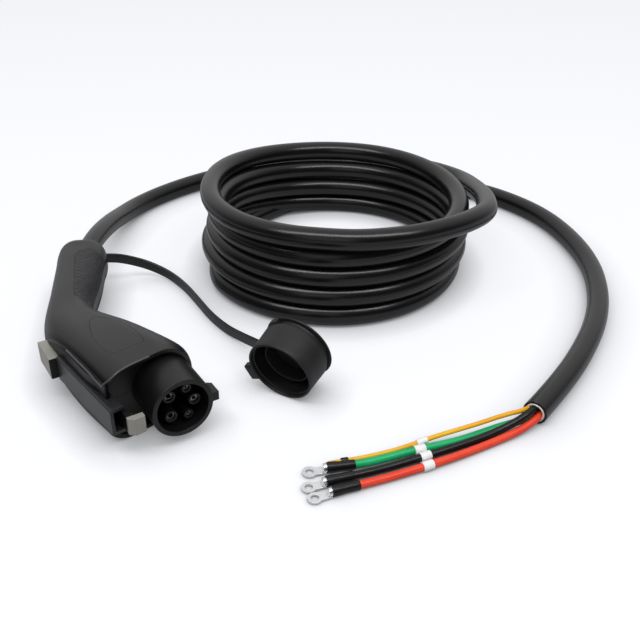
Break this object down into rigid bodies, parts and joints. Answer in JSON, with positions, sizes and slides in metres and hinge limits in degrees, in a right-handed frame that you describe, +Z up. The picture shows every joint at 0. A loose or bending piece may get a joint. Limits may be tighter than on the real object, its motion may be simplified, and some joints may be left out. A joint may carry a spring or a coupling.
{
  "type": "ev charging cable",
  "caption": "Coiled vehicle charging cable with a latching round plug, a tethered dust cap and bare colour-coded cores with ring terminals.",
  "frame": {"origin": "on the floor, under the middle of the box round the plug and its dust cap", "axes": "+X out of the plug's nose, +Z up; the plug lies on its side with its latch towards -Y"},
  "size_m": [0.5044, 0.5082, 0.0875],
  "materials": {
    "plug_plastic": "fine matt moulded texture",
    "grip_rubber": "soft grey patch with a fish-scale texture",
    "plate_plastic": "bare dark plate, slightly smoother than the housing",
    "cover_plastic": "smooth dark grey",
    "contact_plastic": "dark insulating plastic",
    "contact_metal": "silver plated, turned",
    "latch_metal": "satin light grey metal",
    "steel": "plain",
    "seal_rubber": "matt black",
    "cap_rubber": "charcoal rubber with a soft sheen",
    "cable_jacket": "satin black jacket",
    "core_red": "smooth insulation",
    "core_black": "smooth insulation",
    "core_green": "smooth insulation",
    "core_yellow": "smooth insulation",
    "marker_white": "bare white sleeve",
    "shrink_black": "shrunk sleeve",
    "terminal_metal": "tinned copper"
  },
  "bodies": {
    "plug_and_cable": {"housing_upper": "plug_plastic", "housing_lower": "plug_plastic", "grip_inlay_upper": "grip_rubber", "grip_inlay_lower": "grip_rubber", "side_plate": "plate_plastic", "nose_barrel": "plug_plastic", "nose_seal": "seal_rubber", "contact_block": "contact_plastic", "contact_line": "contact_metal", "contact_neutral": "contact_metal", "contact_earth": "contact_metal", "contact_pilot": "contact_metal", "contact_proximity": "contact_metal", "latch_cover": "cover_plastic", "latch_pin": "steel", "latch_spring": "steel", "housing_screws": "steel", "cable_grommet": "seal_rubber", "dust_cap": "cap_rubber", "cap_strap": "cap_rubber", "cable_plug_tail": "cable_jacket", "cable_coil": "cable_jacket", "cable_open_tail": "cable_jacket", "core_red": "core_red", "core_black": "core_black", "core_green": "core_green", "core_yellow": "core_yellow", "shrink_sleeve_red": "shrink_black", "shrink_sleeve_black": "shrink_black", "shrink_sleeve_green": "shrink_black", "shrink_band_yellow": "shrink_black", "ring_terminal_red": "terminal_metal", "ring_terminal_black": "terminal_metal", "ring_terminal_green": "terminal_metal", "marker_red": "marker_white", "marker_black": "marker_white", "marker_green": "marker_white", "marker_yellow": "marker_white"},
    "latch_lever": {"latch_lever": "latch_metal"}
  },
  "joints": [
    {"name": "latch", "type": "hinge", "parent": "plug_and_cable", "child": "latch_lever", "pos_m": [0.0585, -0.0706, 0.0281], "axis": [0, 0, -1], "range_deg": [0, 6], "stiffness_Nm_per_rad": 4, "springref_deg": -5.73, "deforming": ["latch_spring"]}
  ]
}
